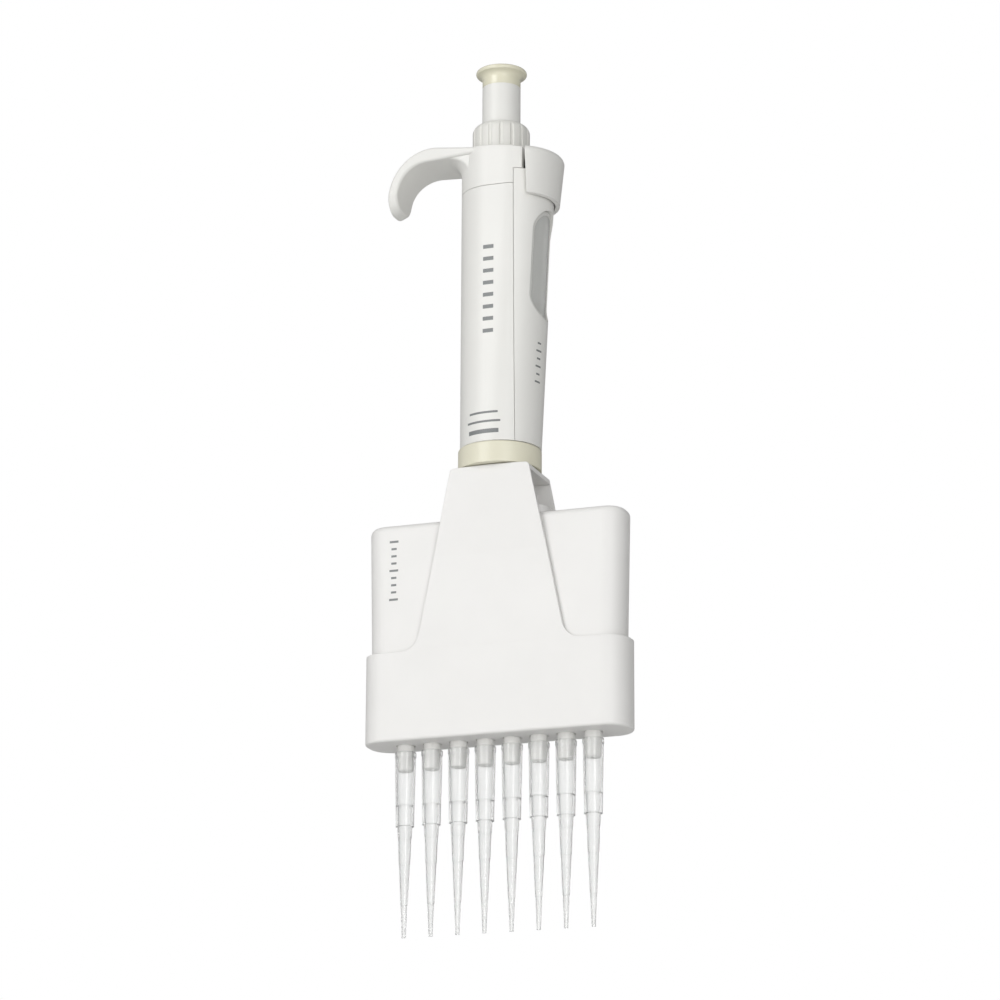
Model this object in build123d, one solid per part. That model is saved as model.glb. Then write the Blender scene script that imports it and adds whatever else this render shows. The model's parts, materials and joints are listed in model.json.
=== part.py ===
"""Eight-channel manual pipette, 30-300 microlitre, with eight tips fitted.

Millimetres. X runs along the row of tips, with the finger hook at -X and the volume window at +X.
Y runs from the front face (-Y) to the back. Z runs up the pipette's own axis.
The origin is the middle of the row of tip ends.
"""

from build123d import *
import math
import os

# ---------------------------------------------------------------- driving dimensions

CHANNELS = 8
CHANNEL_PITCH = 9.0            # microplate row pitch
STROKE = 14.7                  # button travel: 12.2 measuring stroke and 2.5 blow-out
EJECT_TRAVEL = 7.0             # tip ejector travel

# handle: two round ends joined by straights, wider in X towards the top
GRIP_R = 12.9
GRIP_WALL = 1.7
GRIP_BOTTOM = 156.5
GRIP_TOP = 243.5
GRIP_SPREAD_BOTTOM = 0.6       # distance between the two round ends, at the bottom
GRIP_SPREAD_TOP = 4.9          # and at the top
SPLIT_X = 8.7                  # seam between grip shell and display shell
SEAM = 0.15

# collar and finger hook
COLLAR_TOP = 257.4             # on the axis; the top slopes up to the hook
COLLAR_SLOPE_DEG = 6.5
COLLAR_RIGHT_X = 11.3
TAB_TOP = 248.6
FRONT_TAB_X = 13.1             # the front tab reaches to the lever's edge
UNDER_LEVER_TOP = 242.4
HOOK_FACE_X = -37.5            # outer face of the hook's straight end
HOOK_THICK = 3.4
HOOK_Z = 245.4                 # where the straight end meets the inner arc
HOOK_R_IN = 10.6
HOOK_R_OUT = 16.0
HOOK_SLOPE_DEG = 9.5
HOOK_ROOT_X = -4.2
HOOK_TIP_Z = 240.2
HOOK_TIP_RISE = 1.8            # the tip's inner side ends this much higher
HOOK_TIP_HALF_W = 6.8
HOOK_TIP_CORNER = 5.4
HOOK_WIDEN = (0.14, 0.05)      # growth of the half width along X and along Z
HOOK_EDGE_R = 0.9
JUNCTION_R = 5.5               # between the hook's underside and the collar

# ejector lever, a shroud over the right side of the collar
LEVER_BOTTOM = 239.8
LEVER_TOP = 255.9
LEVER_R_BOTTOM = 14.7
LEVER_R_TOP = 16.4
LEVER_R_IN = 13.25
LEVER_CUT_X = 13.2
LEVER_ROOF = 2.2

# window in the display shell
WINDOW_HALF_Y = 8.2
WINDOW_Z = (206.5, 228.3)      # straight sides
WINDOW_SINK = 0.9
BEZEL_GAP = 0.2
BEZEL_WIDTH = 1.3

# dial, button and spindle
DIAL_R = 9.45
DIAL_BOTTOM = 256.2
DIAL_BASE_TOP = 258.5
DIAL_TOP = 268.4
DIAL_GROOVES = 16
DIAL_SHOULDER_R = 3.0
DIAL_GROOVE_R = 0.75
DIAL_GROOVE_DEPTH = 0.5
DIAL_FIRST_GROOVE_DEG = 19.7
SLEEVE_R = 8.2
SLEEVE_BOTTOM = 236.5
STEM_R = 6.3
STEM_BORE_R = 6.4
STEM_BOTTOM = 255.4
STEM_TOP = 281.9
CAP_R = 8.4
CAP_NECK = 2.4                 # straight neck above the stem ring
CAP_TOP = 288.4
ROD_R = 2.0
ROD_BOTTOM = 146.2
SPINDLE_R = (4.5, 5.6)
SPINDLE_BOTTOM = 180.0

# counter
RING_R = (6.0, 8.75)
TRANSFER_AT = (-7.05, 7.05)
RING_HEIGHT = 9.0
RING_PITCH = 9.6
RING_FIRST_Z = 203.4
FRAME_PLATE = 1.5

# stroke stop, spring plate and swivel bush
PLATE_Z = (177.2, 178.4)
NUT_Z = (190.0, 197.0)
NUT_R = 8.2
BUSH_Z = (169.5, 175.0)
NECK_R = (6.0, 7.6)
NECK_TOP = 176.6

# ejector rod beside the counter
EJECT_ROD_R = 0.8
EJECT_ROD_AT = (7.2, 7.2)
FOOT_Z = (165.2, 167.0)
SLEEVE_TUBE_R = (7.9, 9.1)

# coupling ring
COUPLING_R = 13.5
COUPLING_Z = (149.3, 156.4)
SPIGOT_R = (9.9, 11.1)
SPIGOT_TOP = 157.8

# manifold housing
BODY_HALF_W = (42.1, 43.5)      # at the bottom and at the top of the housing
BODY_HALF_D = 7.3
BODY_CORNER = 6.4
BODY_Z = (66.4, 133.3)
BODY_WALL = 1.4
BASE_Z = (64.2, 66.3)
BLOCK_Z = (70.0, 104.0)
SEAL_Z = (104.0, 106.0)
SEAL_PLATE_Z = (106.0, 107.5)
CARRIER_Z = (123.0, 128.0)
YOKE_TOP = 146.0
PISTON_R = 2.8
PISTON_BOTTOM = 95.0
PISTON_FIT = 0.05
GUIDE_X = 35.8
GUIDE_R = 1.0
NECK_SPIGOT_R = 7.25
SCREWS_AT = ((-30.0, 130.1), (30.0, 130.1), (-35.6, 86.0), (35.6, 86.0))

# ejector shell
SHELL_WALL = 1.15
SHELL_HALF_W = 44.35
SHELL_HALF_D = 8.75
SHELL_CORNER = 7.6
SHELL_Z = (61.5, 149.0)
SHELL_FLOOR = 1.5
SHELL_EDGE_R = 0.9
BAND_TOP = 90.5
PLATE_FOOT_X = 23.9            # half width of the plate where its edges meet the band fillets
PLATE_TOP_X = 13.3
PLATE_TOP_D = 9.9
PLATE_BULGE = 1.2
WEB = 2.3

# nozzles and tips
NOZZLE_HEAD_Z = (67.6, 78.0)
NOZZLE_END = 53.2
NOZZLE_R = (2.45, 2.68)        # at the end, and at the rim of a fitted tip
FLOOR_HOLE_R = 3.0
TIP_RIM = 59.4
TIP_FIT = 0.03

TIP_XS = [(i - (CHANNELS - 1) / 2) * CHANNEL_PITCH for i in range(CHANNELS)]

parts = {}


# ---------------------------------------------------------------- shapes used many times

def tube(r_in, r_out, z0, z1):
    """A plain tube on the axis."""
    return extrude(Pos(0, 0, z0) * (Circle(r_out) - Circle(r_in)), z1 - z0)


def disc(r, z0, z1, x=0.0, y=0.0):
    """A plain round bar along Z."""
    return extrude(Pos(x, y, z0) * Circle(r), z1 - z0)


def block(x0, x1, y0, y1, z0, z1):
    """A box from its two corners."""
    size = (x1 - x0, y1 - y0, z1 - z0)
    middle = ((x0 + x1) / 2, (y0 + y1) / 2, (z0 + z1) / 2)
    return Pos(*middle) * Box(*size)


def turned(points):
    """A turned part: its half section in XZ, spun round the axis."""
    return revolve(Plane.XZ * make_face(Polyline(*points, close=True)), Axis.Z)


def spread(z):
    """Distance between the handle's two round ends at height z."""
    share = (z - GRIP_BOTTOM) / (GRIP_TOP - GRIP_BOTTOM)
    return GRIP_SPREAD_BOTTOM + share * (GRIP_SPREAD_TOP - GRIP_SPREAD_BOTTOM)


def grip_section(r, z, gap=None):
    """The handle's outline with end radius r, at height z."""
    gap = spread(z) if gap is None else gap
    return Pos(gap / 2, 0, z) * SlotCenterToCenter(gap, 2 * r)


def grip_bar(r, z0, z1):
    """The solid inside the handle's outline, from z0 to z1."""
    return loft([grip_section(r, z0), grip_section(r, z1)], ruled=True)


def collar_bar(r, z0, z1):
    """The same above the grip, where the outline no longer widens."""
    return extrude(grip_section(r, z0, GRIP_SPREAD_TOP), z1 - z0)


def rounded_bar(half_w, half_d, corner, z0, z1):
    """A bar with a rounded rectangle for its plan."""
    return extrude(Pos(0, 0, z0) * RectangleRounded(2 * half_w, 2 * half_d, corner), z1 - z0)


def coil(radius, wire, z0, z1, turns, x=0.0, y=0.0):
    """A round-wire compression spring between z0 and z1."""
    rise = z1 - z0 - 2 * wire
    path = Helix(pitch=rise / turns, height=rise, radius=radius)
    section = Plane(origin=path @ 0, z_dir=path % 0) * Circle(wire)
    return Pos(x, y, z0 + wire) * sweep(section, path=path, is_frenet=True)


def window_outline(half_y, grow):
    """The window's long rounded outline, in YZ, as a bar along X."""
    low, high = WINDOW_Z
    outline = Rectangle(2 * half_y, high - low)
    outline += Pos(0, (high - low) / 2) * Ellipse(half_y, half_y + grow)
    outline += Pos(0, (low - high) / 2) * Ellipse(half_y, half_y - 1.0 + grow)
    face = Plane(origin=(0, 0, (low + high) / 2), x_dir=(0, 1, 0), z_dir=(1, 0, 0)) * outline
    return extrude(face, 30)


# ---------------------------------------------------------------- handle

def make_handle_shells():
    outer = grip_bar(GRIP_R, GRIP_BOTTOM, GRIP_TOP)
    inner = grip_bar(GRIP_R - GRIP_WALL, GRIP_BOTTOM - 1, GRIP_TOP + 1)
    hollow = outer - inner
    left = block(-40, SPLIT_X - SEAM / 2, -30, 30, GRIP_BOTTOM - 5, GRIP_TOP + 5)
    right = block(SPLIT_X + SEAM / 2, 40, -30, 30, GRIP_BOTTOM - 5, GRIP_TOP + 5)
    parts["grip_shell"] = hollow & left

    # display shell: the right side, with a low rim under the lever and a tab at each side of it
    rim = collar_bar(GRIP_R, GRIP_TOP, TAB_TOP) - collar_bar(GRIP_R - GRIP_WALL, GRIP_TOP - 1, TAB_TOP + 1)
    tabs = rim & (block(SPLIT_X + SEAM / 2, COLLAR_RIGHT_X, 0, 30, GRIP_TOP, TAB_TOP)
                  + block(SPLIT_X + SEAM / 2, FRONT_TAB_X, -30, 0, GRIP_TOP, TAB_TOP))
    body = (hollow & right) - block(COLLAR_RIGHT_X, 40, 0, 30, UNDER_LEVER_TOP, GRIP_TOP + 5)
    body = body - block(FRONT_TAB_X, 40, -30, 0, UNDER_LEVER_TOP, GRIP_TOP + 5)
    body = body + tabs
    parts["display_shell"] = body - window_outline(WINDOW_HALF_Y, 0.0)

    # frame and lens, sunk a little below the shell's own surface
    z0 = WINDOW_Z[0] - WINDOW_HALF_Y - 2
    z1 = WINDOW_Z[1] + WINDOW_HALF_Y + 2
    skin = grip_bar(GRIP_R - WINDOW_SINK, z0, z1) - grip_bar(GRIP_R - 2.6, z0 - 1, z1 + 1)
    outside = WINDOW_HALF_Y - BEZEL_GAP
    inside = outside - BEZEL_WIDTH
    parts["window_bezel"] = skin & (window_outline(outside, 0.0) - window_outline(inside, 0.0))
    pane = grip_bar(GRIP_R - WINDOW_SINK - 0.15, z0, z1) - grip_bar(GRIP_R - 2.5, z0 - 1, z1 + 1)
    parts["window_lens"] = pane & window_outline(inside - 0.02, 0.0)

    screw = disc(1.5, -1.2, 0) + disc(0.8, -3.6, -1.2)
    slot = block(-1.6, 1.6, -0.25, 0.25, -0.5, 0.1)
    screw = screw - slot
    back = Plane(origin=(0, 0, 0), x_dir=(1, 0, 0), z_dir=(0, 1, 0))
    heights = (168.0, 240.5)
    parts["shell_screws"] = [Pos(4.5, GRIP_R - 0.3, z) * (back * screw) for z in heights]
    for z in heights:
        pocket = Pos(4.5, GRIP_R - 0.3, z) * (back * (disc(1.55, -1.25, 2) + disc(0.8, -3.6, -1.0)))
        parts["grip_shell"] = parts["grip_shell"] - pocket


def between_hook_sides(solid, inset=0.0):
    """Cut a solid to the hook's width, which grows towards the collar and upwards."""
    for side in (-1, 1):
        start = (HOOK_FACE_X, side * (HOOK_TIP_HALF_W - inset), HOOK_Z)
        plane = Plane(origin=start, z_dir=(-HOOK_WIDEN[0], side, -HOOK_WIDEN[1]))
        solid = solid - extrude(plane * Rectangle(300, 300), 60)
    return solid


def make_hook():
    """The finger hook: an arch in XZ with a rounded tip and rounded edges."""
    slope = math.radians(HOOK_SLOPE_DEG)
    in_x = HOOK_FACE_X + HOOK_THICK
    arc_x = in_x + HOOK_R_IN
    under_z = HOOK_Z + HOOK_R_IN
    root_z = COLLAR_TOP - HOOK_ROOT_X * math.tan(math.radians(COLLAR_SLOPE_DEG))
    out_x = HOOK_FACE_X + HOOK_R_OUT
    out_z = root_z + (HOOK_ROOT_X - out_x) * math.tan(slope) - HOOK_R_OUT / math.cos(slope)
    top = (out_x + HOOK_R_OUT * math.sin(slope), out_z + HOOK_R_OUT * math.cos(slope))

    outer_arc = CenterArc((out_x, out_z), HOOK_R_OUT, 90 - HOOK_SLOPE_DEG, 90 + HOOK_SLOPE_DEG)
    inner_arc = CenterArc((arc_x, HOOK_Z), HOOK_R_IN, 90, 90)
    outline = Line((HOOK_ROOT_X, root_z), top) + outer_arc
    outline += Line((HOOK_FACE_X, out_z), (HOOK_FACE_X, HOOK_TIP_Z))
    outline += Line((HOOK_FACE_X, HOOK_TIP_Z), (in_x, HOOK_TIP_Z + HOOK_TIP_RISE))
    outline += Line((in_x, HOOK_TIP_Z + HOOK_TIP_RISE), (in_x, HOOK_Z)) + inner_arc
    outline += Line((arc_x, under_z), (HOOK_ROOT_X, under_z))
    outline += Line((HOOK_ROOT_X, under_z), (HOOK_ROOT_X, root_z))
    arch = between_hook_sides(extrude(Plane.XZ * make_face(outline), 20, both=True))

    tip_z = HOOK_TIP_Z + HOOK_TIP_RISE
    corners = [e for e in arch.edges() if e.center().Z < tip_z and abs(e.center().Y) > 1
               and abs(e.position_at(0).Z - e.position_at(1).Z) < HOOK_TIP_RISE + 0.1
               and abs(e.position_at(0).X - e.position_at(1).X) > 1]
    arch = fillet(corners, HOOK_TIP_CORNER)

    def on_outside(p):
        if p.X > top[0]:
            return abs(p.Z - root_z - (HOOK_ROOT_X - p.X) * math.tan(slope)) < 0.01
        if p.Z > out_z:
            return abs(math.hypot(p.X - out_x, p.Z - out_z) - HOOK_R_OUT) < 0.01
        return abs(p.X - HOOK_FACE_X) < 0.01

    def on_inside(p):
        if p.X > arc_x:
            return abs(p.Z - under_z) < 0.01
        if p.Z > HOOK_Z:
            return abs(math.hypot(p.X - arc_x, p.Z - HOOK_Z) - HOOK_R_IN) < 0.01
        return abs(p.X - in_x) < 0.01

    for on_face in (on_outside, on_inside):
        chain = []
        for edge in arch.edges():
            across = edge.geom_type == GeomType.LINE and abs(edge.center().Y) < 0.01
            if not across and all(on_face(edge @ share) for share in (0.05, 0.3, 0.5, 0.7, 0.95)):
                chain.append(edge)
        arch = fillet(chain, HOOK_EDGE_R)
    return arch


def make_junction():
    """The concave rounding that joins the hook's underside to the round end of the collar."""
    under_z = HOOK_Z + HOOK_R_IN
    web = Pos(GRIP_R - 3, under_z + 0.6) * Rectangle(
        JUNCTION_R + 3, JUNCTION_R + 0.6, align=(Align.MIN, Align.MAX))
    web = web - Pos(GRIP_R + JUNCTION_R, under_z - JUNCTION_R) * Circle(JUNCTION_R)
    ring = between_hook_sides(revolve(Plane.XZ * web, Axis.Z), HOOK_EDGE_R)
    ring = ring & block(-40, HOOK_ROOT_X, -30, 30, 240, 270)
    edges = [e for e in ring.edges() if e.geom_type == GeomType.BSPLINE and e.length > 5]
    return fillet(edges, HOOK_EDGE_R)


def make_collar():
    body = collar_bar(GRIP_R, GRIP_TOP + SEAM, COLLAR_TOP + 8)
    # sloping top
    roof = Rot(0, COLLAR_SLOPE_DEG, 0) * Box(200, 200, 40, align=(Align.CENTER, Align.CENTER, Align.MIN))
    body = body - Pos(0, 0, COLLAR_TOP) * roof
    body = body + make_hook() + make_junction()
    # the lever's side is cut away, and the tabs of the display shell reach up beside it
    body = body - block(COLLAR_RIGHT_X, 40, -30, 30, 200, 300)
    body = body - block(SPLIT_X - SEAM / 2, 40, -30, 30, 200, TAB_TOP + SEAM)
    body = body - collar_bar(GRIP_R - GRIP_WALL, 200, 252.5)
    body = body - disc(SLEEVE_R + 0.1, 240, 270) - disc(DIAL_R + 0.35, DIAL_BOTTOM - 0.3, 280)
    # room for the ejector arm
    body = body - block(4.5, 40, EJECT_ROD_AT[1] - 2.3, EJECT_ROD_AT[1] + 2.3, 240, 254.2)
    parts["hook_collar"] = body


def make_lever():
    outer = loft([
        Pos(GRIP_SPREAD_TOP, 0, LEVER_BOTTOM) * Circle(LEVER_R_BOTTOM),
        Pos(GRIP_SPREAD_TOP, 0, LEVER_TOP) * Circle(LEVER_R_TOP)], ruled=True)
    outer = fillet(outer.edges().group_by(Axis.Z)[-1], 1.8)
    lever = outer - disc(LEVER_R_IN, LEVER_BOTTOM - 1, LEVER_TOP - LEVER_ROOF, GRIP_SPREAD_TOP)
    lever = lever & block(LEVER_CUT_X, 40, -30, 30, LEVER_BOTTOM - 2, LEVER_TOP + 2)
    parts["ejector_lever"] = lever

    x, y = EJECT_ROD_AT
    arm_z = (251.0, LEVER_TOP - LEVER_ROOF)
    arm = block(x - 1.2, LEVER_CUT_X + 1.45, y - 1.3, y + 1.8, *arm_z)
    arm = fillet(arm.edges().filter_by(Axis.Z), 0.8)
    parts["ejector_arm"] = arm - disc(EJECT_ROD_R, arm_z[0] - 1, arm_z[1] + 1, x, y)
    parts["ejector_rod"] = disc(EJECT_ROD_R, FOOT_Z[0], arm_z[1], x, y)
    foot = tube(SLEEVE_TUBE_R[0] + 0.05, SLEEVE_TUBE_R[1] + 0.35, *FOOT_Z)
    lug = disc(1.5, FOOT_Z[0], FOOT_Z[1], x * 0.985, y * 0.985) - disc(SLEEVE_TUBE_R[0] + 0.05, 160, 170)
    parts["ejector_foot"] = foot + lug - disc(EJECT_ROD_R, 160, 170, x, y)
    clip_z = (196.4, 197.2)
    parts["ejector_clip"] = disc(1.45, *clip_z, x, y) - disc(EJECT_ROD_R, 190, 200, x, y)
    parts["ejector_spring"] = coil(1.2, 0.2, PLATE_Z[1], clip_z[0], 12, x, y)


def make_handle_inside():
    x, y = EJECT_ROD_AT
    inner_r = GRIP_R - GRIP_WALL - 0.05
    rod_hole = disc(EJECT_ROD_R + 0.06, 150, 260, x, y)

    ring = tube(SPIGOT_R[1], COUPLING_R, *COUPLING_Z)
    ring = fillet(ring.edges().group_by(Axis.Z)[-1].sort_by(SortBy.RADIUS)[-1], 0.7)
    ring = ring + tube(SPIGOT_R[0], SPIGOT_R[1], COUPLING_Z[0], SPIGOT_TOP)
    parts["coupling_ring"] = ring

    bush = grip_bar(inner_r, *BUSH_Z) - disc(NECK_R[1] + 0.06, 150, 200)
    parts["swivel_bush"] = bush - rod_hole

    plate = grip_bar(inner_r, *PLATE_Z) - disc(ROD_R + 0.3, 150, 200)
    parts["spring_plate"] = plate - rod_hole
    parts["guide_key"] = block(-9.4, -7.5, -0.7, 0.7, PLATE_Z[1], 200.0)

    low_z = RING_FIRST_Z - 0.3 - FRAME_PLATE
    high_z = RING_FIRST_Z + 2 * RING_PITCH + RING_HEIGHT + 0.3
    frame_plates = []
    for z in (low_z, high_z):
        deck = grip_bar(inner_r, z, z + FRAME_PLATE) - disc(RING_R[0], 150, 260)
        deck = deck - disc(1.5, 150, 260, x, y)
        deck = deck - block(9.0, 40, -30, 30, 150, 260)
        frame_plates.append(deck)
    posts = [disc(0.8, low_z, high_z + FRAME_PLATE, -9.6, side * 3.6) for side in (-1, 1)]
    frame = frame_plates[0] + frame_plates[1]
    for post in posts:
        frame = frame + post
    parts["counter_frame"] = frame - transfer_bore(low_z, high_z + FRAME_PLATE)

    parts["primary_spring"] = coil(3.5, 0.4, PLATE_Z[1], 236.0, 15)
    parts["blow_out_spring"] = coil(2.65, 0.25, PLATE_Z[1], 191.0, 8)


def transfer_bore(z0, z1):
    """Bearing hole of the counter's transfer shaft."""
    return disc(0.56, z0 - 1, z1 + 1, *TRANSFER_AT)


def make_dial():
    crown = disc(DIAL_R, DIAL_BASE_TOP, DIAL_TOP)
    crown = fillet(crown.edges().group_by(Axis.Z)[-1], DIAL_SHOULDER_R)
    groove = disc(DIAL_GROOVE_R, DIAL_BASE_TOP + 0.5, DIAL_TOP + 1)
    for place in PolarLocations(DIAL_R + DIAL_GROOVE_R - DIAL_GROOVE_DEPTH, DIAL_GROOVES, DIAL_FIRST_GROOVE_DEG):
        crown = crown - place * groove
    base = disc(DIAL_R, DIAL_BOTTOM, DIAL_BASE_TOP)
    head = crown + base
    sleeve = disc(SLEEVE_R, SLEEVE_BOTTOM, DIAL_BOTTOM + 0.5)
    body = head + sleeve - disc(STEM_BORE_R, SLEEVE_BOTTOM + 2, DIAL_TOP + 1)
    parts["volume_dial"] = body - disc(SPINDLE_R[0], SLEEVE_BOTTOM - 1, SLEEVE_BOTTOM + 3)
    parts["dial_spindle"] = tube(*SPINDLE_R, SPINDLE_BOTTOM, SLEEVE_BOTTOM)

    for i, name in enumerate(("units", "tens", "hundreds")):
        z = RING_FIRST_Z + i * RING_PITCH
        inner = SPINDLE_R[1] if name == "units" else RING_R[0]
        wheel = tube(inner, RING_R[1], z, z + RING_HEIGHT)
        parts["digit_ring_" + name] = chamfer(wheel.edges().group_by(Axis.Z)[-1], 0.25)

    shaft = disc(0.5, RING_FIRST_Z - 1.6, RING_FIRST_Z + 3 * RING_PITCH, *TRANSFER_AT)
    for i in range(2):
        z = RING_FIRST_Z + (i + 1) * RING_PITCH - 1.6
        shaft = shaft + disc(1.1, z, z + 2.6, *TRANSFER_AT)
    parts["transfer_shaft"] = shaft

    nut = tube(SPINDLE_R[1] + 0.05, NUT_R, *NUT_Z)
    parts["stroke_stop_nut"] = nut - block(-10, -7.2, -0.9, 0.9, NUT_Z[0] - 1, NUT_Z[1] + 1)


def make_button():
    # cap: a neck as wide as the stem, a concave flare, a thin lip and a slightly domed top
    flare_z = STEM_TOP + CAP_NECK
    flare = ThreePointArc((STEM_R, flare_z), (STEM_R + 0.35, CAP_TOP - 2.8), (CAP_R - 0.3, CAP_TOP - 2.0))
    lip = ThreePointArc((CAP_R - 0.3, CAP_TOP - 2.0), (CAP_R, CAP_TOP - 1.3), (CAP_R - 0.5, CAP_TOP - 0.5))
    dome = ThreePointArc((CAP_R - 0.5, CAP_TOP - 0.5), (CAP_R - 2.6, CAP_TOP - 0.12), (4.0, CAP_TOP))
    top = Polyline((4.0, CAP_TOP), (0, CAP_TOP), (0, STEM_TOP + 2.0), (ROD_R, STEM_TOP + 2.0),
                   (ROD_R, STEM_TOP), (STEM_R, STEM_TOP), (STEM_R, flare_z))
    half = make_face(flare + lip + dome + top)
    parts["push_button_cap"] = revolve(Plane.XZ * half, Axis.Z)
    stem = tube(ROD_R, STEM_R, STEM_BOTTOM, STEM_TOP)
    parts["button_stem"] = chamfer(stem.edges().group_by(Axis.Z)[0].sort_by(SortBy.RADIUS)[-1], 0.5)
    rod = disc(ROD_R, ROD_BOTTOM, STEM_TOP + 2.0)
    parts["plunger_rod"] = rod + disc(3.2, ROD_BOTTOM, ROD_BOTTOM + 2.0)
    parts["spring_retainer"] = tube(ROD_R, 4.3, 236.0, 238.0)
    parts["blow_out_washer"] = tube(ROD_R, 2.95, 206.0, 207.2)
    parts["stop_collar"] = tube(ROD_R, 5.2, 170.6, 173.6)


# ---------------------------------------------------------------- lower unit

def housing_bar(inset, z0, z1):
    """The solid inside the manifold's outline, less a margin; the outline widens upwards."""
    ends = []
    for z in (z0, z1):
        share = (z - BODY_Z[0]) / (BODY_Z[1] - BODY_Z[0])
        half_w = BODY_HALF_W[0] + share * (BODY_HALF_W[1] - BODY_HALF_W[0]) - inset
        half_d = BODY_HALF_D - inset
        ends.append(Pos(0, 0, z) * RectangleRounded(2 * half_w, 2 * half_d, BODY_CORNER - inset))
    return loft(ends, ruled=True)


def inside_bar(gap, z0, z1):
    """A bar that fills the housing's inside, less a gap all round."""
    return housing_bar(BODY_WALL + gap, z0, z1)


def across(r, x, z, y0, y1):
    """A round bar along Y."""
    return Pos(0, y0, 0) * extrude(Pos(x, 0, z) * (Plane.XZ * Circle(r)), y0 - y1)


def make_covers():
    outer = housing_bar(0, *BODY_Z)
    outer = fillet(outer.edges().group_by(Axis.Z)[-1], 2.4)
    housing = outer - inside_bar(0, BODY_Z[0] - 1, BODY_Z[1] - BODY_WALL)
    for x, z in SCREWS_AT:
        if z > CARRIER_Z[1]:
            housing = housing + across(1.4, x, z, -BODY_HALF_D + 0.4, BODY_HALF_D - 0.4)
    screws = []
    for x, z in SCREWS_AT:
        shank = across(0.8, x, z, -BODY_HALF_D + 1.2, BODY_HALF_D - 1.3)
        head = across(1.6, x, z, BODY_HALF_D - 1.3, BODY_HALF_D - 0.4)
        slot = block(x - 1.7, x + 1.7, BODY_HALF_D - 0.7, BODY_HALF_D, z - 0.25, z + 0.25)
        pocket = across(1.6, x, z, BODY_HALF_D - 1.3, BODY_HALF_D + 1)
        housing = housing - shank - pocket
        screws.append(shank + head - slot)
    housing = housing - disc(NECK_SPIGOT_R, 120, 140)
    parts["manifold_front_cover"] = housing & block(-60, 60, -20, -SEAM / 2, 40, 160)
    parts["manifold_rear_cover"] = housing & block(-60, 60, SEAM / 2, 20, 40, 160)
    parts["cover_screws"] = screws


def make_neck():
    neck = tube(*NECK_R, BODY_Z[1], NECK_TOP)
    neck = neck + tube(NECK_R[0], NECK_SPIGOT_R, BODY_Z[1] - BODY_WALL, BODY_Z[1])
    neck = neck + tube(NECK_R[1], NECK_R[1] + 0.7, BUSH_Z[1] + 0.2, NECK_TOP)
    saddle = rounded_bar(17, BODY_HALF_D - 0.5, 5.5, BODY_Z[1], BODY_Z[1] + 2.6)
    parts["swivel_neck"] = neck + (saddle - disc(NECK_R[0], 120, 140))


def make_cylinders():
    base = housing_bar(0.2, *BASE_Z)
    cylinders = inside_bar(0.2, *BLOCK_Z)
    plate = inside_bar(0.2, *SEAL_PLATE_Z)
    for x in TIP_XS:
        base = base - disc(2.75, 50, 80, x)
        cylinders = cylinders - disc(PISTON_R + PISTON_FIT, BLOCK_Z[0] - 1, BLOCK_Z[1] + 1, x)
        cylinders = cylinders - disc(3.6, BLOCK_Z[0] - 1, NOZZLE_HEAD_Z[1], x)
        plate = plate - disc(PISTON_R + 0.2, 100, 110, x)
    for x, z in SCREWS_AT:
        if z < BLOCK_Z[1]:
            cylinders = cylinders - across(0.8, x, z, -BODY_HALF_D, BODY_HALF_D)
    rods = []
    for x in (-GUIDE_X, GUIDE_X):
        rods.append(disc(GUIDE_R, SEAL_PLATE_Z[0], BODY_Z[1] - BODY_WALL - 0.1, x))
        plate = plate - disc(GUIDE_R, 100, 120, x)
    parts["base_plate"] = base
    parts["cylinder_block"] = cylinders
    parts["seal_plate"] = plate
    parts["guide_rods"] = rods
    seal = tube(PISTON_R + 0.03, 4.1, *SEAL_Z)
    parts["piston_seals"] = [Pos(x, 0, 0) * seal for x in TIP_XS]

    nozzle = turned([
        (0.9, NOZZLE_HEAD_Z[1]), (3.6, NOZZLE_HEAD_Z[1]), (3.6, NOZZLE_HEAD_Z[0]),
        (2.7, NOZZLE_HEAD_Z[0]), (2.7, TIP_RIM + 1.2), (NOZZLE_R[1], TIP_RIM),
        (NOZZLE_R[0], NOZZLE_END + 0.3), (NOZZLE_R[0] - 0.3, NOZZLE_END), (0.9, NOZZLE_END)])
    parts["nozzles"] = [Pos(x, 0, 0) * nozzle for x in TIP_XS]


def make_pistons():
    carrier = rounded_bar(37.6, 5.2, 3.0, *CARRIER_Z)
    for x in TIP_XS:
        carrier = carrier - disc(PISTON_R, 110, 140, x)
    for x in (-GUIDE_X, GUIDE_X):
        carrier = carrier - disc(GUIDE_R + 0.05, 110, 140, x)
    parts["piston_plate"] = carrier
    parts["pistons"] = [disc(PISTON_R, PISTON_BOTTOM, CARRIER_Z[1], x) for x in TIP_XS]
    yoke = disc(4.2, CARRIER_Z[1], YOKE_TOP)
    parts["drive_yoke"] = yoke + rounded_bar(9, 4.6, 1.5, CARRIER_Z[1], CARRIER_Z[1] + 2.0)


def bulged_section(half_w, half_d, bulge, z):
    """A plan with straight sides and a front and back that bow outwards."""
    corners = [(half_w, half_d), (-half_w, half_d), (-half_w, -half_d), (half_w, -half_d)]
    back = ThreePointArc(corners[0], (0, half_d + bulge), corners[1])
    left = Line(corners[1], corners[2])
    front = ThreePointArc(corners[2], (0, -half_d - bulge), corners[3])
    right = Line(corners[3], corners[0])
    outline = Wire([back.edge(), left.edge(), front.edge(), right.edge()])
    return Pos(0, 0, z) * make_face(outline)


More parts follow.
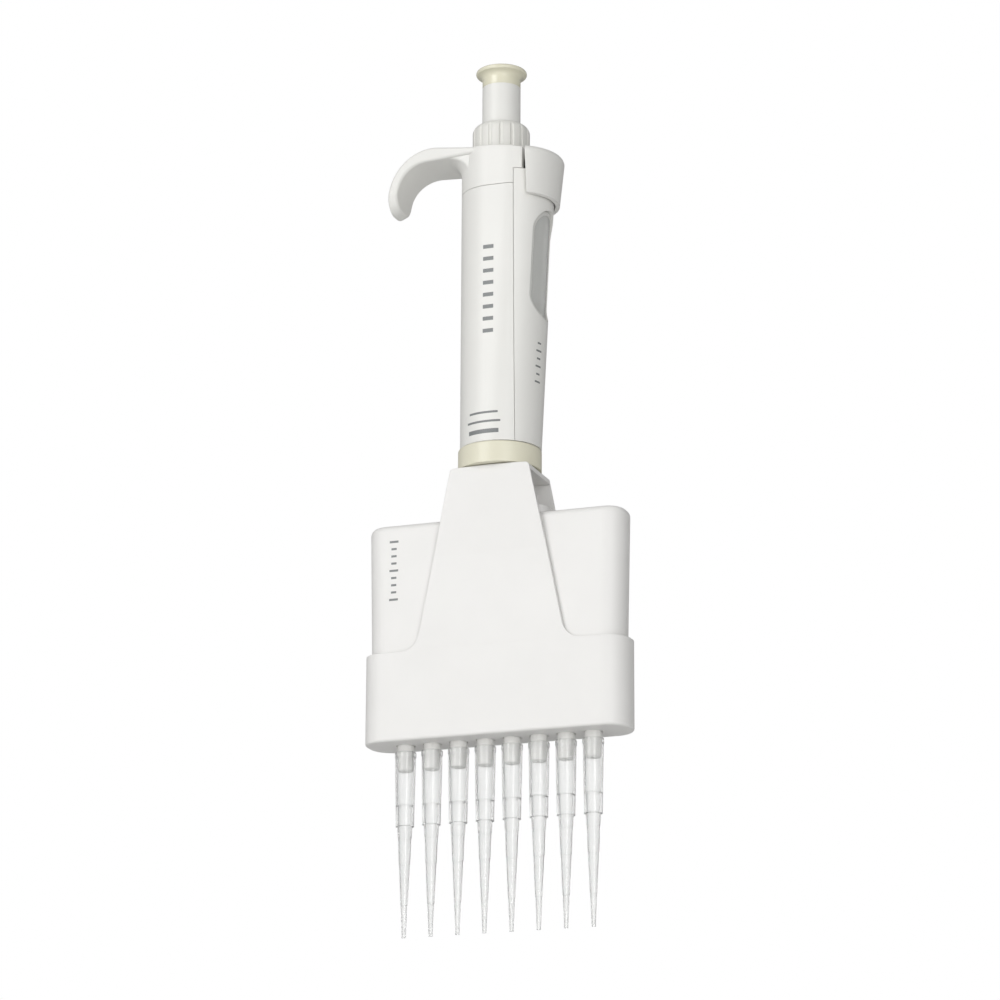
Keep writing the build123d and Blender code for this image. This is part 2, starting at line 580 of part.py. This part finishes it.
def make_ejector_shell():
    # front outline: a trapezium that runs out into the band with a fillet at each side
    half = [
        (0, SHELL_Z[1]), (PLATE_TOP_X, SHELL_Z[1]), (PLATE_FOOT_X + 1.3, BAND_TOP),
        (SHELL_HALF_W + 2, BAND_TOP), (SHELL_HALF_W + 2, SHELL_Z[0]), (0, SHELL_Z[0])]
    outline = Polyline(*half, close=True)
    sheet = make_face(outline)
    sheet = sheet + mirror(sheet, Plane.YZ)
    notch = sheet.vertices().filter_by(lambda v: abs(abs(v.X) - PLATE_FOOT_X - 1.3) < 0.01)
    sheet = fillet(notch, 6.5)
    tops = sheet.vertices().filter_by(lambda v: abs(v.Y - SHELL_Z[1]) < 0.01 and abs(v.X) > 5)
    sheet = fillet(tops, 1.2)
    slab = extrude(Plane.XZ * sheet, 30, both=True)

    wide = SHELL_HALF_W + 6
    band = rounded_bar(SHELL_HALF_W, SHELL_HALF_D, SHELL_CORNER, SHELL_Z[0], BAND_TOP)
    band = fillet(band.edges().group_by(Axis.Z)[0], SHELL_EDGE_R)
    upper = loft([
        bulged_section(wide, SHELL_HALF_D, 0.02, BAND_TOP),
        bulged_section(wide, SHELL_HALF_D + 0.3, 0.02, BAND_TOP + 30)], ruled=True)
    top = loft([
        bulged_section(27, SHELL_HALF_D + 0.3, 0.02, BAND_TOP + 30),
        bulged_section(14, PLATE_TOP_D, PLATE_BULGE, SHELL_Z[1])], ruled=True)
    outer = (band + upper + top) & slab

    t = SHELL_WALL
    room = rounded_bar(
        SHELL_HALF_W - t, SHELL_HALF_D - t, SHELL_CORNER - t, SHELL_Z[0] + SHELL_FLOOR, BAND_TOP)
    upper_room = loft([
        bulged_section(wide + 5, SHELL_HALF_D - t, 0.02, BAND_TOP),
        bulged_section(wide + 5, SHELL_HALF_D + 0.3 - t, 0.02, BAND_TOP + 30)], ruled=True)
    top_room = loft([
        bulged_section(30, SHELL_HALF_D + 0.3 - t, 0.02, BAND_TOP + 30),
        bulged_section(30, PLATE_TOP_D - t, 0.8 * PLATE_BULGE, SHELL_Z[1] - WEB)], ruled=True)
    shell = outer - room - upper_room - top_room
    shell = shell - disc(SLEEVE_TUBE_R[0], 140, 160)
    for x in TIP_XS:
        shell = shell - disc(FLOOR_HOLE_R, 50, 80, x)
    parts["ejector_shell"] = shell
    parts["ejector_sleeve"] = tube(*SLEEVE_TUBE_R, SHELL_Z[1], FOOT_Z[0] - 0.1)


def make_tips():
    def nozzle_r(z):
        share = (z - NOZZLE_END) / (TIP_RIM - NOZZLE_END)
        return NOZZLE_R[0] + share * (NOZZLE_R[1] - NOZZLE_R[0]) + TIP_FIT

    outer = [
        (0.40, 0.0), (0.66, 0.0), (0.80, 4.1), (1.06, 10.4), (1.16, 10.5), (1.70, 23.3), (1.80, 23.4),
        (2.09, 31.8), (2.19, 31.9),
        (2.35, 35.4), (2.88, 35.5), (2.98, 41.8), (3.22, 53.5), (3.26, 57.6), (3.42, 57.9),
        (3.42, TIP_RIM - 0.3), (3.30, TIP_RIM)]
    inner = [
        (nozzle_r(TIP_RIM) + 0.15, TIP_RIM), (nozzle_r(58.8), 58.8), (nozzle_r(52.8), 52.8),
        (2.30, 42.2), (2.02, 41.8), (1.80, 35.0), (1.52, 25.0), (0.90, 12.2), (0.52, 4.1)]
    tip = turned(outer + inner)
    for i, x in enumerate(TIP_XS, start=1):
        parts["tip_%d" % i] = Pos(x, 0, 0) * tip


# ---------------------------------------------------------------- write

make_handle_shells()
make_collar()
make_lever()
make_handle_inside()
make_dial()
make_button()
make_covers()
make_neck()
make_cylinders()
make_pistons()
make_ejector_shell()
make_tips()

os.makedirs("parts", exist_ok=True)
for name, shape in parts.items():
    if isinstance(shape, list):
        shape = Compound(children=shape)
    export_step(shape, "parts/%s.step" % name)
    print(name, round(shape.volume, 1))
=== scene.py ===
import json
import math

import bmesh
import bpy
from mathutils import Matrix, Vector

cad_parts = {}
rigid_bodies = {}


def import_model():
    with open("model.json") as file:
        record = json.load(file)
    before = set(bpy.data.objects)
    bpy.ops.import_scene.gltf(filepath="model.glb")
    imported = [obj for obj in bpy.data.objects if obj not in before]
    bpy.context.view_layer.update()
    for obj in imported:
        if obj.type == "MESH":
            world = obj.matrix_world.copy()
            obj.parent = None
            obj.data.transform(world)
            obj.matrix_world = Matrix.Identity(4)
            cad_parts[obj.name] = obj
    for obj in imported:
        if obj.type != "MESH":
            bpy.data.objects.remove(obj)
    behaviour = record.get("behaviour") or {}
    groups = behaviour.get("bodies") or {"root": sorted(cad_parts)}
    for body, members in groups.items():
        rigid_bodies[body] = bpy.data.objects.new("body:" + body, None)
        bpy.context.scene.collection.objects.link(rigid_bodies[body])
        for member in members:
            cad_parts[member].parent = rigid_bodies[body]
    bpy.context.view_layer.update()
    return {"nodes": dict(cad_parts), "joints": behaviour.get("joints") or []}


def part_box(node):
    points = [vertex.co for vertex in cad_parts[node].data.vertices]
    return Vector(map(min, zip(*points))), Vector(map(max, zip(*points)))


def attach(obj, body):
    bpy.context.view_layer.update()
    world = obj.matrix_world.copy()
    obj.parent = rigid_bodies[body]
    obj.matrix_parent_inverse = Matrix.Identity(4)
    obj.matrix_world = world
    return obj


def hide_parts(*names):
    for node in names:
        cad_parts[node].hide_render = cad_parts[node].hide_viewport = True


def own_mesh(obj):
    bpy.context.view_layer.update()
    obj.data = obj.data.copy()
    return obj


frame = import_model()
nodes = frame["nodes"]
scene = bpy.context.scene

MM = 0.001

# numerals on the counter wheels
NUMERALS = 10                  # round one wheel
NUMERAL_SIZE = 6.6 * MM
NUMERAL_WEIGHT = 0.012         # outline growth, as a share of the size
NUMERAL_HALF_THICK = 0.02 * MM
NUMERAL_OUT = 0.022 * MM       # from the drum to the middle of the numeral
SLICE_STEP = 0.35 * MM
SLICE_REACH = 3.0 * MM

# printed bars, in mm
INK_TOP = 0.035                # above the surface
INK_BOTTOM = 0.005
CELL_ACROSS = 0.4
CELL_UP = 0.8
RAY_START = 30

# stage and camera, in metres
FLOOR_RADIUS = 3.0
FLOOR_Z = -0.32
AIM_Z = 0.140
AIM_RIGHT = 0.00008
AIM_UP = 0.00022
CAMERA_AZIMUTH = 20.2          # degrees
CAMERA_ELEVATION = -16.4
CAMERA_ROLL = 0.25
CAMERA_LENS = 144.0
CAMERA_DISTANCE = 1.2845
LIGHT_AIM = (0, 0, 0.15)


# ---------------------------------------------------------------- node helpers

def new_material(name):
    """A material with an empty tree but for its output and one Principled shader."""
    mat = bpy.data.materials.new(name)
    mat.use_nodes = True
    tree = mat.node_tree
    tree.nodes.clear()
    out = tree.nodes.new("ShaderNodeOutputMaterial")
    shader = tree.nodes.new("ShaderNodeBsdfPrincipled")
    tree.links.new(shader.outputs["BSDF"], out.inputs["Surface"])
    return mat, tree, shader


def noise(tree, scale, detail=2.0, stretch=(1, 1, 1)):
    """A noise field in object space, as a 0-1 output; scale is in features per metre."""
    coord = tree.nodes.new("ShaderNodeTexCoord")
    mapping = tree.nodes.new("ShaderNodeMapping")
    mapping.inputs["Scale"].default_value = stretch
    field = tree.nodes.new("ShaderNodeTexNoise")
    field.inputs["Scale"].default_value = scale
    field.inputs["Detail"].default_value = detail
    tree.links.new(coord.outputs["Object"], mapping.inputs["Vector"])
    tree.links.new(mapping.outputs["Vector"], field.inputs["Vector"])
    return field.outputs["Fac"]


def drive(tree, field, low, high, socket):
    """Drives a shader's socket with a 0-1 field, ramped between two colours."""
    node = tree.nodes.new("ShaderNodeValToRGB")
    first, last = node.color_ramp.elements
    first.position = 0.3
    last.position = 0.7
    first.color = (*low, 1)
    last.color = (*high, 1)
    tree.links.new(field, node.inputs["Fac"])
    tree.links.new(node.outputs["Color"], socket)


def drive_value(tree, field, low, high, socket):
    """The same between two numbers."""
    drive(tree, field, (low,) * 3, (high,) * 3, socket)


def bump(tree, height, distance, strength):
    """A bump node; its place in the tree is up to the caller."""
    node = tree.nodes.new("ShaderNodeBump")
    node.inputs["Strength"].default_value = strength
    node.inputs["Distance"].default_value = distance
    tree.links.new(height, node.inputs["Height"])
    return node


def scaled(colour, factor):
    return tuple(min(1.0, c * factor) for c in colour)


# ---------------------------------------------------------------- materials

def moulded(name, colour, rough, grain, edge, coat=0.0):
    """Moulded plastic: slow mottling, fine spark-eroded grain, edges softened by edge mm."""
    mat, tree, shader = new_material(name)
    slow = noise(tree, 55.0, 3.0)
    drive(tree, slow, scaled(colour, 0.988), scaled(colour, 1.012), shader.inputs["Base Color"])
    fine = noise(tree, 5200.0)
    drive_value(tree, fine, rough - 0.05, rough + 0.05, shader.inputs["Roughness"])
    rounded = tree.nodes.new("ShaderNodeBevel")
    rounded.samples = 4
    rounded.inputs["Radius"].default_value = edge * MM
    relief = bump(tree, fine, 0.01 * MM, grain)
    tree.links.new(rounded.outputs["Normal"], relief.inputs["Normal"])
    tree.links.new(relief.outputs["Normal"], shader.inputs["Normal"])
    shader.inputs["IOR"].default_value = 1.49
    shader.inputs["Coat Weight"].default_value = coat
    shader.inputs["Coat Roughness"].default_value = 0.12
    return mat


def metal(name, colour, rough, stretch=(1, 1, 12)):
    """Turned or drawn metal with fine machining lines."""
    mat, tree, shader = new_material(name)
    lines = noise(tree, 2500.0, 3.0, stretch)
    drive(tree, lines, scaled(colour, 0.9), colour, shader.inputs["Base Color"])
    drive_value(tree, lines, rough - 0.07, rough + 0.09, shader.inputs["Roughness"])
    relief = bump(tree, lines, 0.008 * MM, 0.5)
    tree.links.new(relief.outputs["Normal"], shader.inputs["Normal"])
    shader.inputs["Metallic"].default_value = 1.0
    return mat


def clear(name, colour, rough, cloud, ior=1.49, haze=0.02):
    """Clear or cloudy polymer; cloud is the share that scatters light, haze the spread of rough."""
    mat, tree, shader = new_material(name)
    flow = noise(tree, 260.0, 3.0, (1, 1, 0.25))
    drive_value(tree, flow, max(0.0, rough - haze), rough + haze, shader.inputs["Roughness"])
    relief = bump(tree, flow, 0.01 * MM, 0.35)
    tree.links.new(relief.outputs["Normal"], shader.inputs["Normal"])
    tint = noise(tree, 90.0)
    drive(tree, tint, scaled(colour, 0.985), colour, shader.inputs["Base Color"])
    shader.inputs["Transmission Weight"].default_value = 1.0 - cloud
    shader.inputs["IOR"].default_value = ior
    return mat


def ink(name, colour):
    """Pad-printed ink with slightly uneven cover."""
    mat, tree, shader = new_material(name)
    cover = noise(tree, 3000.0, 3.0)
    drive(tree, cover, colour, scaled(colour, 1.18), shader.inputs["Base Color"])
    drive_value(tree, cover, 0.38, 0.5, shader.inputs["Roughness"])
    return mat


# moulded: colour, roughness, grain, edge radius in mm
materials = {
    "grip": moulded("grip_plastic", (0.800, 0.795, 0.765), 0.40, 0.5, 0.22),
    "housing": moulded("housing_plastic", (0.820, 0.812, 0.795), 0.46, 0.6, 0.30),
    "dial": moulded("dial_plastic", (0.77, 0.765, 0.725), 0.38, 0.3, 0.20),
    "cream": moulded("cream_plastic", (0.76, 0.735, 0.58), 0.24, 0.2, 0.25, coat=0.2),
    "ring": moulded("cream_ring_plastic", (0.77, 0.745, 0.60), 0.34, 0.3, 0.25),
    # bezel: grey plastic, painted darker as painted shade for the shaded gap round the window
    "bezel": moulded("bezel_plastic_painted_shade", (0.66, 0.66, 0.635), 0.26, 0.2, 0.20),
    # nozzles: near-white plastic, painted brighter than the shells as painted light to make up for
    # the shadow the clear tips cast on them
    "nozzle": moulded("nozzle_plastic", (0.93, 0.925, 0.90), 0.30, 0.2, 0.10),
    "inner": moulded("inner_plastic", (0.30, 0.31, 0.30), 0.5, 0.5, 0.15),
    "digit_ring": moulded("digit_ring_plastic", (0.16, 0.165, 0.16), 0.4, 0.3, 0.10),
    "rubber": moulded("seal_rubber", (0.03, 0.03, 0.03), 0.7, 0.8, 0.10),
    "lens": clear("lens_plastic", (0.86, 0.865, 0.84), 0.06, 0.54),
    "tip": clear("tip_polypropylene", (0.99, 0.992, 0.988), 0.10, 0.18, ior=1.40, haze=0.04),
    "steel": metal("machined_steel", (0.56, 0.56, 0.56), 0.30),
    "polished": metal("ground_steel", (0.70, 0.70, 0.70), 0.14),
    "brass": metal("turned_brass", (0.62, 0.48, 0.24), 0.26),
    "spring": metal("spring_wire", (0.50, 0.51, 0.52), 0.22, (6, 6, 6)),
    "ink": ink("print_ink", (0.19, 0.20, 0.20)),
    "white_ink": ink("digit_ink", (0.70, 0.71, 0.69)),
}
LOOKS = {
    "grip": ["grip_shell", "display_shell", "hook_collar", "ejector_lever", "button_stem"],
    "bezel": ["window_bezel"],
    "housing": [
        "manifold_front_cover", "manifold_rear_cover", "swivel_neck", "base_plate",
        "ejector_shell", "ejector_sleeve"],
    "dial": ["volume_dial"],
    "cream": ["push_button_cap"],
    "ring": ["coupling_ring"],
    "nozzle": ["nozzles"],
    "inner": ["counter_frame", "swivel_bush", "cylinder_block", "drive_yoke"],
    "digit_ring": ["digit_ring_units", "digit_ring_tens", "digit_ring_hundreds"],
    "rubber": ["piston_seals"],
    "lens": ["window_lens"],
    "tip": ["tip_%d" % i for i in range(1, 9)],
    "steel": [
        "spring_plate", "guide_key", "shell_screws", "cover_screws", "spring_retainer",
        "blow_out_washer", "stop_collar", "ejector_arm", "ejector_foot", "ejector_clip",
        "seal_plate", "piston_plate"],
    "polished": ["plunger_rod", "ejector_rod", "guide_rods", "pistons"],
    "brass": ["dial_spindle", "transfer_shaft", "stroke_stop_nut"],
    "spring": ["primary_spring", "blow_out_spring", "ejector_spring"],
}
for look, names in LOOKS.items():
    for name in names:
        for place in nodes[name].material_slots:
            place.material = materials[look]


# ---------------------------------------------------------------- pieces

def add_object(name, data):
    obj = bpy.data.objects.new(name, data)
    scene.collection.objects.link(obj)
    return obj


def finish_piece(name, bm, material, body):
    """Makes the piece, on its body and with its material."""
    mesh = bpy.data.meshes.new(name)
    bmesh.ops.recalc_face_normals(bm, faces=bm.faces)
    bm.to_mesh(mesh)
    bm.free()
    mesh.materials.append(materials[material])
    piece = add_object(name, mesh)
    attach(piece, body)


def numeral_mesh(word):
    """Flat mesh of a numeral, centred on the origin in XY."""
    curve = bpy.data.curves.new("number", "FONT")
    curve.body = word
    curve.size = NUMERAL_SIZE
    curve.align_x = "CENTER"
    curve.align_y = "CENTER"
    curve.offset = NUMERAL_WEIGHT * NUMERAL_SIZE
    curve.extrude = NUMERAL_HALF_THICK
    holder = add_object("number", curve)
    graph = bpy.context.evaluated_depsgraph_get()
    made = bpy.data.meshes.new_from_object(holder.evaluated_get(graph))
    bpy.data.objects.remove(holder)
    bm = bmesh.new()
    bm.from_mesh(made)
    bpy.data.meshes.remove(made)
    bpy.data.curves.remove(curve)
    return bm


def slice_upright(bm):
    """Cuts the mesh along upright lines so that it can be bent round a drum."""
    count = int(SLICE_REACH / SLICE_STEP)
    for i in range(-count, count + 1):
        parts = bm.verts[:] + bm.edges[:] + bm.faces[:]
        bmesh.ops.bisect_plane(bm, geom=parts, plane_co=(i * SLICE_STEP, 0, 0), plane_no=(1, 0, 0))


def drum_numbers(name, node, body, first):
    """Ten numerals round a counter wheel, with the first one behind the window."""
    low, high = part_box(node)
    radius = high.x
    middle = (low.z + high.z) / 2
    joined = bmesh.new()
    for k in range(NUMERALS):
        bm = numeral_mesh(str((first + k) % NUMERALS))
        slice_upright(bm)
        turn = k * math.tau / NUMERALS
        for v in bm.verts:
            angle = turn + v.co.x / radius
            out = radius + NUMERAL_OUT + v.co.z
            v.co = Vector((out * math.cos(angle), out * math.sin(angle), middle + v.co.y))
        mesh = bpy.data.meshes.new("number")
        bm.to_mesh(mesh)
        bm.free()
        joined.from_mesh(mesh)
        bpy.data.meshes.remove(mesh)
    finish_piece(name, joined, "white_ink", body)


def laid_grid(bm, cast, rows, columns, lift):
    """A grid of vertices, lift mm above the surface that cast finds."""
    grid = []
    for r in range(rows + 1):
        line = []
        for c in range(columns + 1):
            point, normal = cast(c / columns - 0.5, r / rows - 0.5)
            line.append(bm.verts.new(point + normal * lift * MM))
        grid.append(line)
    return grid


def close_bar(bm, top, low, rows, columns):
    """Faces of a thin bar between two grids of vertices."""
    for r in range(rows):
        for c in range(columns):
            bm.faces.new((top[r][c], top[r][c + 1], top[r + 1][c + 1], top[r + 1][c]))
            bm.faces.new((low[r][c], low[r + 1][c], low[r + 1][c + 1], low[r][c + 1]))
    for r in range(rows):
        bm.faces.new((top[r][0], top[r + 1][0], low[r + 1][0], low[r][0]))
        bm.faces.new((top[r][columns], low[r][columns], low[r + 1][columns], top[r + 1][columns]))
    for c in range(columns):
        bm.faces.new((top[0][c], low[0][c], low[0][c + 1], top[0][c + 1]))
        bm.faces.new((top[rows][c], top[rows][c + 1], low[rows][c + 1], low[rows][c]))


def printed_bars(name, node, body, centre, across, bars):
    """Thin raised bars of ink laid on a node's surface. bars: (along, height, width, tall) in mm."""
    target = nodes[node]
    across = Vector(across)
    up = Vector((0, 0, 1))
    inward = -across.cross(up)
    joined = bmesh.new()
    for along, height, width, tall in bars:
        columns = max(2, int(width / CELL_ACROSS) + 1)
        rows = max(2, int(tall / CELL_UP) + 1)

        def cast(share_across, share_up):
            a = along + width * share_across
            b = height + tall * share_up
            start = Vector(centre) + across * a * MM + up * b * MM - inward * RAY_START * MM
            hit, point, normal, _ = target.ray_cast(start, inward)
            if not hit:
                raise RuntimeError("a printed bar misses " + node)
            return point, normal

        top = laid_grid(joined, cast, rows, columns, INK_TOP)
        low = laid_grid(joined, cast, rows, columns, INK_BOTTOM)
        close_bar(joined, top, low, rows, columns)
    finish_piece(name, joined, "ink", body)


def shortening_springs():
    """Each spring that a joint deforms is replaced by a copy of its mesh in spring wire, on the
    joint's parent body; the original is hidden.
    """
    for joint in frame["joints"]:
        for entry in joint.get("deforming_nodes", []):
            node = entry["node"]
            mesh = nodes[node].data.copy()
            mesh.materials.clear()
            mesh.materials.append(materials["spring"])
            coil = add_object(node + "_coil", mesh)
            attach(coil, joint["parent"])
            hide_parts(node)
            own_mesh(coil)


drum_numbers("units_numerals", "digit_ring_units", "dial", 0)
drum_numbers("tens_numerals", "digit_ring_tens", "digit_tens", 0)
drum_numbers("hundreds_numerals", "digit_ring_hundreds", "digit_hundreds", 3)
# eight short bars, one for each channel, then a block of three thin lines
printed_bars(
    "channel_marks", "grip_shell", "handle", (0.0004, 0, 0.2079), (1, 0, 0),
    [(0, 4.1 * (i - 3.5), 3.6, 1.3) for i in range(8)])
printed_bars(
    "foot_marks", "grip_shell", "handle", (-0.0012, 0, 0.1630), (1, 0, 0),
    [(0, 3.0, 10.0, 0.7), (0, 0, 11.6, 0.7), (0, -3.3, 10.5, 1.4)])
# small ticks on the right side, below the window
printed_bars(
    "side_marks", "display_shell", "handle", (0, -0.0035, 0.1840), (0, 1, 0),
    [(0, 2.6 * (i - 2.5), 2.6 if i % 2 == 0 else 1.7, 0.6) for i in range(6)])
# a plain scale on the left wing
printed_bars(
    "wing_scale", "manifold_front_cover", "manifold", (-0.0334, 0, 0.1178), (1, 0, 0),
    [(0, 2.4 * (i - 4), 3.0 if i % 4 == 0 else 1.8, 0.7) for i in range(9)])
shortening_springs()


# ---------------------------------------------------------------- stage, light, camera

def build_stage():
    bm = bmesh.new()
    bmesh.ops.create_circle(bm, cap_ends=True, segments=96, radius=FLOOR_RADIUS)
    mesh = bpy.data.meshes.new("floor")
    bm.to_mesh(mesh)
    bm.free()
    mat, tree, shader = new_material("pale_floor")
    field = noise(tree, 8.0, 4.0)
    drive(tree, field, (0.90, 0.90, 0.89), (0.93, 0.93, 0.92), shader.inputs["Base Color"])
    shader.inputs["Roughness"].default_value = 0.9
    mesh.materials.append(mat)
    floor = add_object("floor", mesh)
    floor.location = (0, 0, FLOOR_Z)


def area_light(name, place, size, watts):
    data = bpy.data.lights.new(name, "AREA")
    data.shape = "RECTANGLE"
    data.size, data.size_y = size
    data.energy = watts
    lamp = add_object(name, data)
    lamp.location = place
    lamp.rotation_mode = "QUATERNION"
    lamp.rotation_quaternion = (Vector(LIGHT_AIM) - Vector(place)).to_track_quat("-Z", "Y")


def map_range(tree, source, from_low, from_high, to_low, to_high):
    node = tree.nodes.new("ShaderNodeMapRange")
    node.inputs["From Min"].default_value = from_low
    node.inputs["From Max"].default_value = from_high
    node.inputs["To Min"].default_value = to_low
    node.inputs["To Max"].default_value = to_high
    tree.links.new(source, node.inputs["Value"])
    return node.outputs["Result"]


def build_world():
    """White to the camera, dimmer as a light; rays through clear parts see darker sides."""
    world = bpy.data.worlds.new("studio")
    world.use_nodes = True
    tree = world.node_tree
    tree.nodes.clear()
    out = tree.nodes.new("ShaderNodeOutputWorld")
    path = tree.nodes.new("ShaderNodeLightPath")
    coord = tree.nodes.new("ShaderNodeTexCoord")
    split = tree.nodes.new("ShaderNodeSeparateXYZ")
    tree.links.new(coord.outputs["Generated"], split.inputs["Vector"])
    depth = tree.nodes.new("ShaderNodeMath")
    depth.operation = "ABSOLUTE"
    tree.links.new(split.outputs["Y"], depth.inputs[0])
    front_to_back = map_range(tree, split.outputs["Y"], -1.0, 1.0, 0.47, 0.26)
    side_to_middle = map_range(tree, depth.outputs["Value"], 0.4, 0.9, 0.42, 1.12)
    fill = tree.nodes.new("ShaderNodeBackground")
    tree.links.new(front_to_back, fill.inputs["Strength"])
    through = tree.nodes.new("ShaderNodeBackground")
    tree.links.new(side_to_middle, through.inputs["Strength"])
    seen = tree.nodes.new("ShaderNodeBackground")
    for layer in (fill, through, seen):
        layer.inputs["Color"].default_value = (1, 1, 1, 1)
    inner = tree.nodes.new("ShaderNodeMixShader")
    tree.links.new(path.outputs["Is Transmission Ray"], inner.inputs["Fac"])
    tree.links.new(fill.outputs["Background"], inner.inputs[1])
    tree.links.new(through.outputs["Background"], inner.inputs[2])
    outer = tree.nodes.new("ShaderNodeMixShader")
    tree.links.new(path.outputs["Is Camera Ray"], outer.inputs["Fac"])
    tree.links.new(inner.outputs["Shader"], outer.inputs[1])
    tree.links.new(seen.outputs["Background"], outer.inputs[2])
    tree.links.new(outer.outputs["Shader"], out.inputs["Surface"])
    scene.world = world


def build_camera():
    azimuth = math.radians(CAMERA_AZIMUTH)
    elevation = math.radians(CAMERA_ELEVATION)
    roll = math.radians(CAMERA_ROLL)
    back = Vector((
        math.sin(azimuth) * math.cos(elevation),
        -math.cos(azimuth) * math.cos(elevation),
        math.sin(elevation)))
    right = Vector((math.cos(azimuth), math.sin(azimuth), 0))
    up = back.cross(right)
    aim = Vector((0, 0, AIM_Z)) + right * AIM_RIGHT + up * AIM_UP
    turned_right = math.cos(roll) * right + math.sin(roll) * up
    turned_up = -math.sin(roll) * right + math.cos(roll) * up
    data = bpy.data.cameras.new("camera")
    data.lens = CAMERA_LENS
    data.sensor_width = 36.0
    data.clip_start = 0.05
    data.clip_end = 20.0
    camera = add_object("camera", data)
    facing = Matrix((turned_right, turned_up, back)).transposed()
    camera.matrix_world = Matrix.Translation(aim + back * CAMERA_DISTANCE) @ facing.to_4x4()
    bpy.context.scene.camera = camera


build_stage()
build_world()
build_camera()
area_light("key", (-0.65, -1.35, 0.75), (0.8, 0.8), 8.6)
area_light("fill", (0.85, -1.15, 0.25), (0.6, 0.9), 5.4)
area_light("low", (0.0, -0.9, -0.28), (0.8, 0.3), 1.2)
scene.view_settings.view_transform = "Standard"
scene.view_settings.look = "None"
